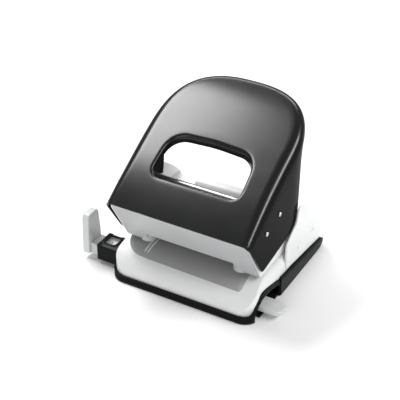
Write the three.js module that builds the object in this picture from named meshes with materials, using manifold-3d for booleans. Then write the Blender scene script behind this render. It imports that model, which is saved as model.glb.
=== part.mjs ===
// Two-hole desk punch. Millimetres, +Z up, the operator stands at -Y.
// The pieces are drawn with Y = 0 at the front edge of the base and Z = 0 on the desk, then one
// group moves them so that the origin is on the underside, on the centre line of its front strip.

import * as THREE from 'three';
import { ConvexGeometry } from 'three/addons/geometries/ConvexGeometry.js';
import { mergeVertices } from 'three/addons/utils/BufferGeometryUtils.js';
import Module from 'manifold-3d';

const wasm = await Module();
wasm.setup();

// ---------------------------------------------------------------- driving dimensions

const GAP = 0.3; // clearance between touching pieces
const BASE_WIDTH = 127;
const BASE_DEPTH = 127;
const BASE_CORNER = 13;
const ORIGIN_Y = 18; // row origin: middle of the front strip of the tray's underside
const RIM_HALF = BASE_WIDTH / 2 - 0.8; // the rim; the side panels stand 0.8 proud of it
const TRAY_WALL = 2.3;
const BODY_HALF = 61.3; // painted body, half width at the table
const BODY_SHEET = 1.4;
const HOUSING_HALF = 61.7; // rear housing, half width
const HOUSING_WALL = 1.2;
const HOUSING_REAR_Y = 124.4;
const HOUSING_CORNER = 7;
const CHEEK_OUT = 57.5; // outer face of the head's side plates
const CHEEK_SHEET = 1;
const HEAD_HALF = CHEEK_OUT - CHEEK_SHEET - GAP;
const HEAD_SHEET = 1.4;
const MOUTH_HALF = 37.5; // half width of the opening in the head's front plate

const HANDLE_HALF = 60;
const HANDLE_SHEET = 1.2;
const HANDLE_BEND = 8.7; // outside radius of the handle's edges
const HANDLE_NOSE_Y = -3.5;
const HANDLE_SIDE_Y = 62; // the sides are straight as far as here
const HANDLE_REAR_Y = 121;
const HANDLE_PLAN_POWER = 2.5; // superellipse exponent of the rounded rear
const WINDOW_LIP = 6; // depth of the turned-in window edge

const PIVOT = { y: 23.5, z: 69.6, radius: 1.6 };
const ROD = { y: 43.9, z: 74.7, radius: 2.4 };
const HOLE_SPACING = 80;
const PIN_RADIUS = 2.75;
const PIN_Y = 43.5;
const PAPER_MARGIN = 12; // hole centre to paper edge
const STOP_Y = PIN_Y + PAPER_MARGIN;
const TABLE_Z = 28.6;
const SLOT_TOP_Z = 30.9;
const TOP_PLATE_Z = 48;

const BAR = { front: 16, back: 30, bottom: 4.5, top: 14, thin: 8.5 };
const BLOCK = { left: -80.4, right: -RIM_HALF - GAP, front: 12.5, back: 32, bottom: 3.2, top: 17.2 };
const LENS = { left: -76.4, right: -67.4, front: 18, back: 27.5 };

const ARC_STEPS = 6;
const BEND_STEPS = 4;
const ROUND_SIDES = 20;

// ---------------------------------------------------------------- solids from three.js geometry

function solid(geometry, matrix) {
  const bare = geometry.clone();
  if (matrix) bare.applyMatrix4(matrix);
  bare.deleteAttribute('normal');
  bare.deleteAttribute('uv');
  const merged = mergeVertices(bare, 1e-4);
  const place = merged.attributes.position.array;
  const index = merged.index.array;
  const kept = [];
  let volume = 0;
  for (let i = 0; i < index.length; i += 3) {
    const [a, b, c] = [index[i], index[i + 1], index[i + 2]];
    if (a === b || b === c || c === a) continue;
    kept.push(a, b, c);
    const va = new THREE.Vector3().fromArray(place, 3 * a);
    const vb = new THREE.Vector3().fromArray(place, 3 * b);
    const vc = new THREE.Vector3().fromArray(place, 3 * c);
    volume += va.dot(vb.cross(vc));
  }
  if (volume < 0) {
    for (let i = 0; i < kept.length; i += 3) {
      [kept[i], kept[i + 1]] = [kept[i + 1], kept[i]];
    }
  }
  return new wasm.Manifold(new wasm.Mesh({
    numProp: 3,
    vertProperties: new Float32Array(place),
    triVerts: new Uint32Array(kept),
  }));
}

// Cuts between facets can leave crumbs: only the largest body is the piece.
const largest = (manifold) => manifold.decompose().sort((a, b) => b.volume() - a.volume())[0];

function geometryOf(manifold) {
  const mesh = largest(manifold.simplify(0.02)).getMesh();
  const geometry = new THREE.BufferGeometry();
  geometry.setAttribute('position', new THREE.BufferAttribute(mesh.vertProperties, mesh.numProp));
  geometry.setIndex(new THREE.BufferAttribute(mesh.triVerts, 1));
  geometry.computeVertexNormals();
  return geometry;
}

const basis = (x, y, z) => new THREE.Matrix4().makeBasis(
  new THREE.Vector3(...x), new THREE.Vector3(...y), new THREE.Vector3(...z));

function shapeOf(points) {
  return new THREE.Shape(points.map(([u, v]) => new THREE.Vector2(u, v)));
}

function extruded(shape, depth) {
  return new THREE.ExtrudeGeometry(shape, { depth, bevelEnabled: false, curveSegments: ARC_STEPS });
}

// A (Y, Z) outline carried along X from x0 to x1.
function alongX(outline, x0, x1) {
  const shape = Array.isArray(outline) ? shapeOf(outline) : outline;
  const turn = basis([0, 1, 0], [0, 0, 1], [1, 0, 0]);
  return solid(extruded(shape, x1 - x0), turn.setPosition(x0, 0, 0));
}

// An (X, Z) outline carried along Y from y0 to y1.
function alongY(outline, y0, y1) {
  const turn = basis([1, 0, 0], [0, 0, 1], [0, -1, 0]);
  return solid(extruded(shapeOf(outline), y1 - y0), turn.setPosition(0, y1, 0));
}

// An (X, Y) outline carried along Z from z0 to z1.
function alongZ(outline, z0, z1) {
  const shape = Array.isArray(outline) ? shapeOf(outline) : outline;
  return solid(extruded(shape, z1 - z0), new THREE.Matrix4().setPosition(0, 0, z0));
}

function block(x0, x1, y0, y1, z0, z1) {
  const centre = new THREE.Matrix4().setPosition((x0 + x1) / 2, (y0 + y1) / 2, (z0 + z1) / 2);
  return solid(new THREE.BoxGeometry(x1 - x0, y1 - y0, z1 - z0), centre);
}

// A cylinder along Z.
function post(x, y, z0, z1, radius, sides = ROUND_SIDES) {
  const stand = basis([1, 0, 0], [0, 0, 1], [0, -1, 0]).setPosition(x, y, (z0 + z1) / 2);
  return solid(new THREE.CylinderGeometry(radius, radius, z1 - z0, sides), stand);
}

// A cylinder along X.
function rodAlongX(y, z, x0, x1, radius, sides = ROUND_SIDES) {
  const lie = basis([0, 1, 0], [1, 0, 0], [0, 0, -1]).setPosition((x0 + x1) / 2, y, z);
  return solid(new THREE.CylinderGeometry(radius, radius, x1 - x0, sides), lie);
}

// A ring about Z with a rectangular section.
function ring(x, y, z0, z1, inner, outer, sides = ROUND_SIDES) {
  return post(x, y, z0, z1, outer, sides).subtract(post(x, y, z0 - 1, z1 + 1, inner, sides));
}

function roundedPlan(halfWidth, front, back, radius) {
  const shape = new THREE.Shape();
  shape.moveTo(-halfWidth + radius, front);
  shape.lineTo(halfWidth - radius, front);
  shape.absarc(halfWidth - radius, front + radius, radius, -Math.PI / 2, 0, false);
  shape.absarc(halfWidth - radius, back - radius, radius, 0, Math.PI / 2, false);
  shape.absarc(-halfWidth + radius, back - radius, radius, Math.PI / 2, Math.PI, false);
  shape.absarc(-halfWidth + radius, front + radius, radius, Math.PI, 1.5 * Math.PI, false);
  return shape;
}

const joined = (first, ...others) => others.reduce((sum, next) => sum.add(next), first);
const cut = (first, ...others) => others.reduce((rest, next) => rest.subtract(next), first);
const bothSides = (make) => [make(-1), make(1)];

// ---------------------------------------------------------------- handle

// Height of the handle's laid-back panel above the desk, at a distance y from the base's front.
function panelHeight(y) {
  const s = (y - HANDLE_NOSE_Y) / 100;
  return 73.4 + 74 * s - 20 * s * s;
}

// Plan outline of the handle: straight sides, then a superelliptic rear. It starts well in front of
// the nose, so that the nose can be cut off straight.
function handlePlan(count) {
  const points = [];
  const start = -30;
  const half = count / 2;
  for (let i = 0; i <= half; i += 1) {
    const side = 0.45 * half;
    if (i < side) {
      points.push(new THREE.Vector2(HANDLE_HALF, start + (HANDLE_SIDE_Y - start) * i / side));
    } else {
      const turn = (Math.PI / 2) * (i - side) / (half - side);
      const power = 2 / HANDLE_PLAN_POWER;
      points.push(new THREE.Vector2(
        HANDLE_HALF * Math.max(0, Math.cos(turn)) ** power,
        HANDLE_SIDE_Y + (HANDLE_REAR_Y - HANDLE_SIDE_Y) * Math.sin(turn) ** power));
    }
  }
  const mirrored = points.slice(0, -1).reverse().map((p) => new THREE.Vector2(-p.x, p.y));
  return points.concat(mirrored);
}

// The filled hood whose skin is the handle. It is convex, so the rings of points that step round
// its rounded edge describe it completely.
function hood(sheet) {
  const outline = handlePlan(44);
  const bend = HANDLE_BEND - sheet;
  const floor = -20;
  const points = [];
  outline.forEach((at, i) => {
    const before = outline[(i + outline.length - 1) % outline.length];
    const after = outline[(i + 1) % outline.length];
    const inward = new THREE.Vector2(-(after.y - before.y), after.x - before.x).normalize();
    const wall = at.clone().addScaledVector(inward, sheet);
    points.push(new THREE.Vector3(wall.x, wall.y, floor));
    for (let k = 0; k <= BEND_STEPS; k += 1) {
      const turn = (Math.PI / 2) * k / BEND_STEPS;
      const place = wall.clone().addScaledVector(inward, bend * (1 - Math.cos(turn)));
      const top = panelHeight(place.y) - sheet;
      points.push(new THREE.Vector3(place.x, place.y, top - bend * (1 - Math.sin(turn))));
    }
  });
  return solid(new ConvexGeometry(points));
}

// Finger window in plan: wide at the nose side, narrower and bowed at the far side.
function windowPlan(grow) {
  const shape = new THREE.Shape();
  const [near, far, wide, narrow] = [20.2 - grow, 57 + grow, 39 + grow, 30 + grow];
  shape.moveTo(-wide + 8, near);
  shape.lineTo(wide - 8, near);
  shape.quadraticCurveTo(wide, near, wide - 0.6, near + 8);
  shape.lineTo(narrow + 6.4, far - 14);
  shape.quadraticCurveTo(narrow + 4, far - 2.5, narrow - 10, far);
  shape.quadraticCurveTo(0, far + 2.6, -narrow + 10, far);
  shape.quadraticCurveTo(-narrow - 4, far - 2.5, -narrow - 6.4, far - 14);
  shape.lineTo(-wide + 0.6, near + 8);
  shape.quadraticCurveTo(-wide, near, -wide + 8, near);
  return shape;
}

function handleShell() {
  const side = [
    [HANDLE_NOSE_Y, 160], [HANDLE_NOSE_Y, 72.6], [16.2, 41.6], [19, 39], [23, 38.8], [71.5, 46.6],
    [75.6, 48.6], [76.9, 52], [78.2, 67], [80, 97], [82, 108], [88, 114], [100, 116], [130, 117],
    [130, 160],
  ];
  const outer = hood(0);
  const lip = alongZ(windowPlan(0), 0, 200).subtract(outer.translate([0, 0, -WINDOW_LIP]));
  const hollow = hood(HANDLE_SHEET).subtract(lip);
  return cut(
    outer.intersect(alongX(side, -70, 70)), hollow,
    alongZ(windowPlan(-HANDLE_SHEET), 0, 200),
    rodAlongX(PIVOT.y, PIVOT.z, -70, 70, PIVOT.radius + GAP),
    rodAlongX(ROD.y, ROD.z, -70, 70, PIVOT.radius + GAP));
}

// A rod between the handle's flanges, thinner where it passes them and riveted over outside.
function stepShaft(at, middle) {
  const head = HANDLE_HALF + GAP;
  const neck = HANDLE_HALF - HANDLE_SHEET - GAP;
  return joined(
    rodAlongX(at.y, at.z, -neck, neck, middle),
    rodAlongX(at.y, at.z, -head - 0.6, head + 0.6, PIVOT.radius),
    ...bothSides((s) => rodAlongX(at.y, at.z, Math.min(s * head, s * (head + 0.6)),
      Math.max(s * head, s * (head + 0.6)), 2.3)));
}

// ---------------------------------------------------------------- head

function headFrame() {
  const frame = new THREE.Shape([
    [-1.2, 71.5], [21.4, SLOT_TOP_Z], [73.8, SLOT_TOP_Z], [73.8, 54.8], [66, 54.8], [66, 53.4],
    [72.4, 53.4], [72.4, TOP_PLATE_Z], [13.5, TOP_PLATE_Z], [0.42, 71.5],
  ].map(([y, z]) => new THREE.Vector2(y, z)));
  frame.holes.push(new THREE.Path([
    [22.2, SLOT_TOP_Z + HEAD_SHEET], [72.4, SLOT_TOP_Z + HEAD_SHEET],
    [72.4, TOP_PLATE_Z - HEAD_SHEET], [14.3, TOP_PLATE_Z - HEAD_SHEET],
  ].map(([y, z]) => new THREE.Vector2(y, z))));
  const channel = alongX(frame, -HEAD_HALF, HEAD_HALF);
  const bosses = bothSides((s) => post(s * HOLE_SPACING / 2, 25.6, SLOT_TOP_Z, 42, 6.5)
    .subtract(post(s * HOLE_SPACING / 2, 25.6, 0, 80, 5.1))
    .subtract(block(-60, 60, 25.6, 40, 0, 80)));
  return cut(
    joined(channel, ...bosses),
    block(-MOUTH_HALF, MOUTH_HALF, 12, 28, 30, 40),
    ...bothSides((s) => post(s * HOLE_SPACING / 2, PIN_Y, 0, 80, 4.5 + GAP)),
    ...bothSides((s) => post(s * 25, 65, 0, 40, 1.4 + GAP)));
}

function cheek(side) {
  const outline = [
    [-0.1, 69.2], [21.6, SLOT_TOP_Z], [74, SLOT_TOP_Z], [74, 57], [54, 57], [50, 61.4], [37, 61.4],
    [33, 73], [29, 76.4], [24, 77.6], [18, 77], [12, 75], [5, 72.2],
  ];
  const [x0, x1] = [CHEEK_OUT - CHEEK_SHEET, CHEEK_OUT].map((x) => x * side).sort((a, b) => a - b);
  return alongX(outline, x0, x1).subtract(rodAlongX(PIVOT.y, PIVOT.z, -70, 70, ROD.radius + GAP));
}

function guideBush(x) {
  return joined(
    post(x, PIN_Y, SLOT_TOP_Z + 0.2, TOP_PLATE_Z + GAP, 4.5),
    post(x, PIN_Y, TOP_PLATE_Z + GAP, TOP_PLATE_Z + 1.6, 7),
  ).subtract(post(x, PIN_Y, 0, 80, PIN_RADIUS + 0.2));
}

// A hollow-ground punch: the tip has a V cut, so that it enters the paper at two points first.
function punchPin(x) {
  const tip = SLOT_TOP_Z + 1.3;
  const vee = alongY([[x - 2.9, tip - 1], [x, tip + 2], [x + 2.9, tip - 1]], PIN_Y - 5, PIN_Y + 5);
  return post(x, PIN_Y, tip, ROD.z - ROD.radius - GAP, PIN_RADIUS).subtract(vee);
}

const SPRING = { bottom: TOP_PLATE_Z + 1.9, top: 65.7, radius: 4.7, wire: 0.55, turns: 5.5 };

function returnSpring(x) {
  const rise = SPRING.top - SPRING.bottom - 2 * SPRING.wire;
  class Coil extends THREE.Curve {
    getPoint(t, target = new THREE.Vector3()) {
      const turn = 2 * Math.PI * SPRING.turns * t;
      return target.set(
        x + SPRING.radius * Math.cos(turn),
        PIN_Y + SPRING.radius * Math.sin(turn),
        SPRING.bottom + SPRING.wire + rise * t);
    }
  }
  const section = new THREE.Shape();
  section.absarc(0, 0, SPRING.wire, 0, 2 * Math.PI, false);
  return solid(new THREE.ExtrudeGeometry(section, {
    steps: 72, extrudePath: new Coil(), bevelEnabled: false, curveSegments: 3,
  }));
}

// ---------------------------------------------------------------- body

function bodyShell() {
  const skin = [
    [2.6, 4.5], [2.6, 7], [3.2, 11], [5, 15.4], [8, 19.2], [12, 21.6], [18, 24.4], [24, 26.9],
    [30, 28.2], [STOP_Y, TABLE_Z], [STOP_Y, SLOT_TOP_Z - GAP], [74, SLOT_TOP_Z - GAP], [74, 4.5],
  ];
  const hollow = [
    [4, 3], [4, 7], [4.6, 10.6], [6.2, 14.6], [8.9, 18], [12.6, 20.1], [18.6, 22.9], [24.4, 25.4],
    [30.2, 26.7], [STOP_Y + 1.4, 27.2], [STOP_Y + 1.4, 29.2], [80, 29.2], [80, 3],
  ];
  const across = (half) => [
    [-half, 0], [-half, 20], [-half + 3.6, 25], [-half + 3.6, 40], [half - 3.6, 40],
    [half - 3.6, 25], [half, 20], [half, 0],
  ];
  const outer = alongX(skin, -BODY_HALF, BODY_HALF)
    .intersect(alongY(across(BODY_HALF), -5, 80))
    .intersect(alongZ(roundedPlan(BODY_HALF, 2.6, 130, 11), 0, 50));
  const inner = alongX(hollow, -60, 60)
    .intersect(alongY(across(BODY_HALF - BODY_SHEET), -5, 80))
    .intersect(alongZ(roundedPlan(BODY_HALF - BODY_SHEET, 4, 130, 10), 0, 50));
  const passage = [[6.4, 0], [7, 8], [9.5, 13.4], [14, 16.6], [20, 17.6], [45, 14], [56.6, 14], [56.6, 0]];
  const sideRecess = (s) => block(...(s > 0 ? [60.1, 70] : [-70, -60.1]), 55.7, 90, 0, 40);
  const trayLedge = (s) => block(...(s > 0 ? [59.9, 70] : [-70, -59.9]), 44, 90, 0, 18);
  const fit = TRAY_WALL + GAP;
  const rimSeat = alongX(TRAY_RIM.map(([y, z]) => [y, z > 0 ? z + GAP : z]), -70, 70)
    .subtract(alongZ(roundedPlan(RIM_HALF - fit, fit, 130, BASE_CORNER - fit), -5, 60));
  return cut(
    outer, inner, alongX(passage, -70, 70),
    rimSeat, ...bothSides(sideRecess), ...bothSides(trayLedge),
    ...bothSides((s) => post(s * HOLE_SPACING / 2, PIN_Y, 20, 40, 5 + GAP)),
    ...bothSides((s) => post(s * 25, 65, 20, 40, 1.4 + GAP)));
}

const HOUSING_RIVETS = [[76.3, 24.7], [103.2, 26]];

function rearHousing() {
  const skin = [
    [56, 16.8], [56, 36.5], [58.5, 41], [68, 47.6], [71.8, 50], [73.4, 54], [74.6, 60], [77, 62.4],
    [80, 62.2], [83, 60.8], [87, 58.2],
    [98, 49.4], [108, 39.4], [116, 29.4], [121.4, 19], [124.4, 9], [118, 9.3],
  ];
  const walls = alongX(skin, -HOUSING_HALF, HOUSING_HALF)
    .intersect(alongZ(roundedPlan(HOUSING_HALF, 0, HOUSING_REAR_Y, HOUSING_CORNER), 0, 90));
  const deck = [[80.8, 38.4], [103, 38.4], [112, 30.6], [118.4, 20.6], [122.8, 8]];
  const inside = HOUSING_HALF - HOUSING_WALL;
  const inner = roundedPlan(
    inside, 0, HOUSING_REAR_Y - HOUSING_WALL, HOUSING_CORNER - HOUSING_WALL);
  const over = [...deck.slice(0, -1), [122.4, 9], [140, 9], [140, 90], [80.8, 90]];
  const scoop = alongX(over, -inside, inside)
    .intersect(alongZ(inner, 0, 90));
  const chamber = [
    [79, 0], [79, 31.5], [82, 31.5], [82, 37], [102.4, 37], [111, 29.7], [117.2, 20], [121.2, 8], [121, 0],
  ];
  const underDeck = alongX(chamber, -inside, inside)
    .intersect(alongZ(inner, 0, 90));
  const flangeWell = block(-inside, inside, 50, 80.8, 0, 90);
  return cut(
    walls, scoop, underDeck, flangeWell,
    ...HOUSING_RIVETS.map(([y, z]) => rodAlongX(y, z, -70, 70, 1.1 + GAP, 14)));
}

function housingRivet(side, [y, z]) {
  const near = HOUSING_HALF - HOUSING_WALL - 0.4;
  const [x0, x1] = [near, HOUSING_HALF + 0.3].map((x) => x * side).sort((a, b) => a - b);
  return rodAlongX(y, z, x0, x1, 1.1, 14);
}

// The raised hump on the rear deck, narrower towards the back.
function rearCover() {
  const plan = [[-40, 90], [40, 90], [37, 95], [24, 103], [-24, 103], [-37, 95]];
  const skin = [[89, 38.7], [89.6, 44.4], [91.6, 46], [100, 46], [104, 43.6], [104, 38.7]];
  return alongZ(plan, 38, 60).intersect(alongX(skin, -50, 50));
}

// ---------------------------------------------------------------- chip tray

// Height of the tray's rim along the sides: low at the front, up over the guide bar, then down.
const TRAY_RIM = [
  [-2, 0], [-2, 6], [3, 6.4], [6, 10], [9, 16], [13, 19.8], [18, 21], [27, 20], [40, 17],
  [46, 15.6], [60, 15.2], [122, 8.6], [129, 8], [129, 0],
];
const ARCH = [
  [6.8, -1], [7.4, 8], [10, 13], [14, 15.8], [20, 16.6], [28, 16], [38, 13.6], [42.6, 12], [44.4, 9],
  [44.4, -1],
];
const LID = { half: 49.5, front: 36.5, hingeY: 118, hingeZ: 3.4 };

function chipTray() {
  const wall = alongZ(roundedPlan(RIM_HALF, 0, BASE_DEPTH, BASE_CORNER), 0, 30)
    .subtract(alongZ(roundedPlan(RIM_HALF - TRAY_WALL, TRAY_WALL, BASE_DEPTH - TRAY_WALL,
      BASE_CORNER - TRAY_WALL), -1, 31))
    .intersect(alongX(TRAY_RIM, -70, 70));
  const floor = alongZ(roundedPlan(RIM_HALF - 1, 1, BASE_DEPTH - 1, BASE_CORNER - 1), 0, 2.2)
    .subtract(block(-LID.half - GAP, LID.half + GAP, LID.front - GAP, 121, -1, 3));
  const partition = block(-56, 56, 33, 34.4, 1, 13);
  const panel = [[45, 0], [45, 16.6], [117, 8.8], [120.4, 7], [121.4, 3.4], [119.6, 0]];
  const panels = bothSides((s) => alongX(panel, ...(s > 0 ? [60.5, BASE_WIDTH / 2]
    : [-BASE_WIDTH / 2, -60.5])));
  const lugs = bothSides((s) => block(...(s > 0 ? [50.3, 54] : [-54, -50.3]), 115.5, 125.5, 0.2, 5.8));
  const arches = bothSides((s) => alongX(ARCH, ...(s > 0 ? [58, 70] : [-70, -58])));
  return cut(
    joined(wall, floor, partition, ...panels, ...lugs), ...arches,
    rodAlongX(LID.hingeY, LID.hingeZ, -53, 53, 0.8 + GAP, 16));
}

function trayLid() {
  const plate = block(-LID.half, LID.half, LID.front, LID.hingeY, 0.5, 2);
  const ledge = block(-30, 30, LID.front + 2, LID.front + 4, 2, 4.4);
  const barrel = rodAlongX(LID.hingeY, LID.hingeZ, -LID.half, LID.half, 2.4, 20);
  return cut(joined(plate, ledge, barrel),
    rodAlongX(LID.hingeY, LID.hingeZ, -60, 60, 0.8 + GAP, 16));
}

// ---------------------------------------------------------------- paper guide

const SCALE = { left: -82, right: 12, front: 18, back: 28, bottom: 13.4, top: 13.8 };

function guideBar() {
  const thick = block(-90.4, 15, BAR.front, BAR.back, BAR.bottom, BAR.top);
  const tip = alongZ(roundedPlan(77, BAR.front, BAR.back, 6), BAR.bottom, BAR.thin)
    .intersect(block(14, 90, 0, 60, 0, 60));
  const stop = [
    [13, BAR.bottom], [13.6, 34], [15, 38], [18, 39.6], [26, 39.6], [28.6, 37.6], [31, 20],
    [31, BAR.bottom],
  ];
  const label = block(SCALE.left - GAP, SCALE.right + GAP, SCALE.front - GAP, SCALE.back + GAP,
    SCALE.bottom - GAP, 20);
  return cut(joined(thick, tip, alongX(stop, -96.2, -90)), label);
}

function guideBlock() {
  const outline = new THREE.Shape();
  outline.moveTo(BLOCK.front, BLOCK.bottom);
  outline.lineTo(BLOCK.back, BLOCK.bottom);
  outline.lineTo(BLOCK.back, BLOCK.top - 1.5);
  outline.quadraticCurveTo(BLOCK.back, BLOCK.top, BLOCK.back - 1.5, BLOCK.top);
  outline.lineTo(BLOCK.front + 1, BLOCK.top);
  outline.lineTo(BLOCK.front, BLOCK.top - 1);
  const channel = block(-90, -50, BAR.front - GAP, BAR.back + GAP, BAR.bottom - GAP, BAR.top + GAP);
  const opening = block(LENS.left - GAP, LENS.right + GAP, LENS.front - GAP, LENS.back + GAP, 10, 20);
  return cut(alongX(outline, BLOCK.left, BLOCK.right), channel, opening);
}

// ---------------------------------------------------------------- the assembly

function finish(color, roughness, metalness) {
  return new THREE.MeshStandardMaterial({ color, roughness, metalness });
}

const BLACK_PAINT = finish(0x1b1d1e, 0.28, 0.3);
const PALE_PAINT = finish(0xdfe0e2, 0.42, 0.1);
const BLACK_PLASTIC = finish(0x141516, 0.5, 0);
const PALE_PLASTIC = finish(0xc9cacb, 0.5, 0);
const STEEL = finish(0xa8abb0, 0.3, 1);
const CLEAR = finish(0xf2f4f5, 0.1, 0);
const LABEL = finish(0xf4f4f2, 0.6, 0);

const punch = new THREE.Group();
punch.position.y = -ORIGIN_Y;

function add(name, manifold, material) {
  const mesh = new THREE.Mesh(geometryOf(manifold), material);
  mesh.name = name;
  punch.add(mesh);
}

add('chip_tray', chipTray(), BLACK_PLASTIC);
add('tray_lid', trayLid(), BLACK_PLASTIC);
add('lid_hinge_pin', rodAlongX(LID.hingeY, LID.hingeZ, -52.7, 52.7, 0.8, 16), STEEL);
add('body_shell', bodyShell(), PALE_PAINT);
add('rear_housing', rearHousing(), PALE_PAINT);
add('rear_cover', rearCover(), PALE_PAINT);
add('head_frame', headFrame(), PALE_PAINT);
add('pivot_axle', stepShaft(PIVOT, PIVOT.radius + 0.4), STEEL);
add('handle_shell', handleShell(), BLACK_PAINT);
add('press_rod', stepShaft(ROD, ROD.radius), STEEL);
add('guide_bar', guideBar(), PALE_PLASTIC);
add('format_scale', block(SCALE.left, SCALE.right, SCALE.front, SCALE.back, SCALE.bottom, SCALE.top), LABEL);
add('guide_block', guideBlock(), BLACK_PLASTIC);
add('format_lens', block(LENS.left, LENS.right, LENS.front, LENS.back, 15.6, 16.9), CLEAR);

for (const [side, name] of [[-1, 'left'], [1, 'right']]) {
  const x = side * HOLE_SPACING / 2;
  add(`cheek_${name}`, cheek(side), PALE_PAINT);
  add(`guide_bush_${name}`, guideBush(x), STEEL);
  add(`die_${name}`, ring(x, PIN_Y, 22, TABLE_Z - 0.3, PIN_RADIUS + 0.15, 5), STEEL);
  add(`punch_pin_${name}`, punchPin(x), STEEL);
  add(`return_spring_${name}`, returnSpring(x), STEEL);
  add(`spring_washer_${name}`, ring(x, PIN_Y, 66, 67.2, PIN_RADIUS + GAP, 6.4), STEEL);
  add(`head_screw_${name}`, joined(
    post(side * 25, 65, 32.6, 34.6, 3),
    post(side * 25, 65, 25, 32.7, 1.4)), STEEL);
  const clip = [55.2, 56.2].map((at) => at * side).sort((a, b) => a - b);
  add(`axle_clip_${name}`, rodAlongX(PIVOT.y, PIVOT.z, ...clip, 4)
    .subtract(rodAlongX(PIVOT.y, PIVOT.z, -70, 70, PIVOT.radius + 0.4 + GAP)), STEEL);
  HOUSING_RIVETS.forEach((at, i) => {
    add(`housing_rivet_${name}_${i + 1}`, housingRivet(side, at), STEEL);
  });
}

export default punch;
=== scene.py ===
"""Two-hole desk punch: the visual pieces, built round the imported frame.

Sizes are millimetres. Y is drawn from the front edge of the base, and at() turns a point into
the row frame's metres.
"""
import math

import bmesh
import bpy
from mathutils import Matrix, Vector


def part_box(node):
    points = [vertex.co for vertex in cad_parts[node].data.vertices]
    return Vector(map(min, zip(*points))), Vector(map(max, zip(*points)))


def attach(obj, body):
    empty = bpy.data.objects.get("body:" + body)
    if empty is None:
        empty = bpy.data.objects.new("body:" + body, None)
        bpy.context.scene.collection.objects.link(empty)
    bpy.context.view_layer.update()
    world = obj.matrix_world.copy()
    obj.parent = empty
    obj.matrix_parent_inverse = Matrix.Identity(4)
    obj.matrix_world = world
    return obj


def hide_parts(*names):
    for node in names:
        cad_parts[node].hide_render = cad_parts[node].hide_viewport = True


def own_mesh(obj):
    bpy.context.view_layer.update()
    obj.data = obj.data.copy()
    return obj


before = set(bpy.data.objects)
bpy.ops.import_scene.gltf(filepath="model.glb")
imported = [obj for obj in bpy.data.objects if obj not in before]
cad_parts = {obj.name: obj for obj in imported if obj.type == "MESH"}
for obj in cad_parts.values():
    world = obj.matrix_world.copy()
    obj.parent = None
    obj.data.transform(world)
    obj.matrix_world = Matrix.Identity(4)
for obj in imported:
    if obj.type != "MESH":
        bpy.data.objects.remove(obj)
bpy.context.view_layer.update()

MM = 0.001
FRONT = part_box("chip_tray")[0].y
SIDES = (("left", -1), ("right", 1))


def at(x, y, z):
    """A drawn point, in the row frame."""
    return Vector((x * MM, FRONT + y * MM, z * MM))


# ---------------------------------------------------------------- outlines


def filleted(corners, steps=5):
    """A closed outline of (u, v, radius) corners, each one turned into an arc."""
    points = []
    for i, (u, v, radius) in enumerate(corners):
        here = Vector((u, v, 0))
        to_last = Vector((*corners[i - 1][:2], 0)) - here
        to_next = Vector((*corners[(i + 1) % len(corners)][:2], 0)) - here
        if radius <= 0:
            points.append((u, v))
            continue
        half = to_last.angle(to_next) / 2
        reach = min(radius / math.tan(half), 0.49 * to_last.length, 0.49 * to_next.length)
        a, b = to_last.normalized(), to_next.normalized()
        centre = here + (a + b).normalized() * (reach / math.cos(half))
        start, end = here + a * reach - centre, here + b * reach - centre
        first = math.atan2(start.y, start.x)
        sweep = math.atan2(start.x * end.y - start.y * end.x, start.dot(end))
        for k in range(steps + 1):
            turn = first + sweep * k / steps
            points.append((centre.x + start.length * math.cos(turn),
                           centre.y + start.length * math.sin(turn)))
    return points


def height_on(line, y):
    """The height of an open (y, z) line at y."""
    if y <= line[0][0]:
        return line[0][1]
    for (y0, z0), (y1, z1) in zip(line, line[1:]):
        if y <= y1:
            return z0 + (z1 - z0) * (y - y0) / (y1 - y0) if y1 > y0 else z1
    return line[-1][1]


def smoothed(line, steps=4):
    """An open line drawn smoothly through its points (Catmull-Rom)."""
    points = [Vector((*p, 0)) for p in line]
    ends = [2 * points[0] - points[1], *points, 2 * points[-1] - points[-2]]
    made = []
    for a, b, c, d in zip(ends, ends[1:], ends[2:], ends[3:]):
        for k in range(steps):
            t = k / steps
            p = 0.5 * (2 * b + (c - a) * t + (2 * a - 5 * b + 4 * c - d) * t * t
                       + (3 * b - a - 3 * c + d) * t ** 3)
            made.append((p.x, p.y))
    return [*made, tuple(line[-1])]


def ease(t):
    """A smooth step from 0 to 1."""
    t = max(0.0, min(1.0, t))
    return t * t * (3 - 2 * t)


def soft_min(a, b, width):
    """The lower of two heights, rounded over where they are within width of each other."""
    blend = max(width - abs(a - b), 0) / width
    return min(a, b) - blend * blend * width / 4


def inward(outline, closed):
    """Plan directions that point into a clockwise outline, one for each point."""
    count = len(outline)
    found = []
    for i in range(count):
        before = outline[i - 1] if closed or i else outline[0]
        after = outline[(i + 1) % count] if closed or i < count - 1 else outline[-1]
        along = Vector((after[0] - before[0], after[1] - before[1]))
        found.append(Vector((along.y, -along.x)).normalized())
    return found


# ---------------------------------------------------------------- mesh parts


def prism(bm, outline, axis, low, high):
    """An outline swept along X, Y or Z. It is (Y, Z), (X, Z) or (X, Y)."""
    place = {"X": lambda u, v, w: at(w, u, v), "Y": lambda u, v, w: at(u, w, v),
             "Z": lambda u, v, w: at(u, v, w)}[axis]
    rings = [[bm.verts.new(place(u, v, w)) for u, v in outline] for w in (low, high)]
    bm.faces.new(rings[0])
    bm.faces.new(rings[1])
    for i in range(len(outline)):
        bm.faces.new((rings[0][i - 1], rings[0][i], rings[1][i], rings[1][i - 1]))


def box(bm, x0, x1, y0, y1, z0, z1):
    prism(bm, [(x0, y0), (x1, y0), (x1, y1), (x0, y1)], "Z", z0, z1)


def grid(bm, rows, closed=False):
    """Quads between rows of drawn points. A closed grid joins each row's ends."""
    made = [[bm.verts.new(at(*p)) for p in row] for row in rows]
    for low, high in zip(made, made[1:]):
        for i in range(0 if closed else 1, len(low)):
            bm.faces.new((low[i - 1], low[i], high[i], high[i - 1]))
    return made


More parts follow.
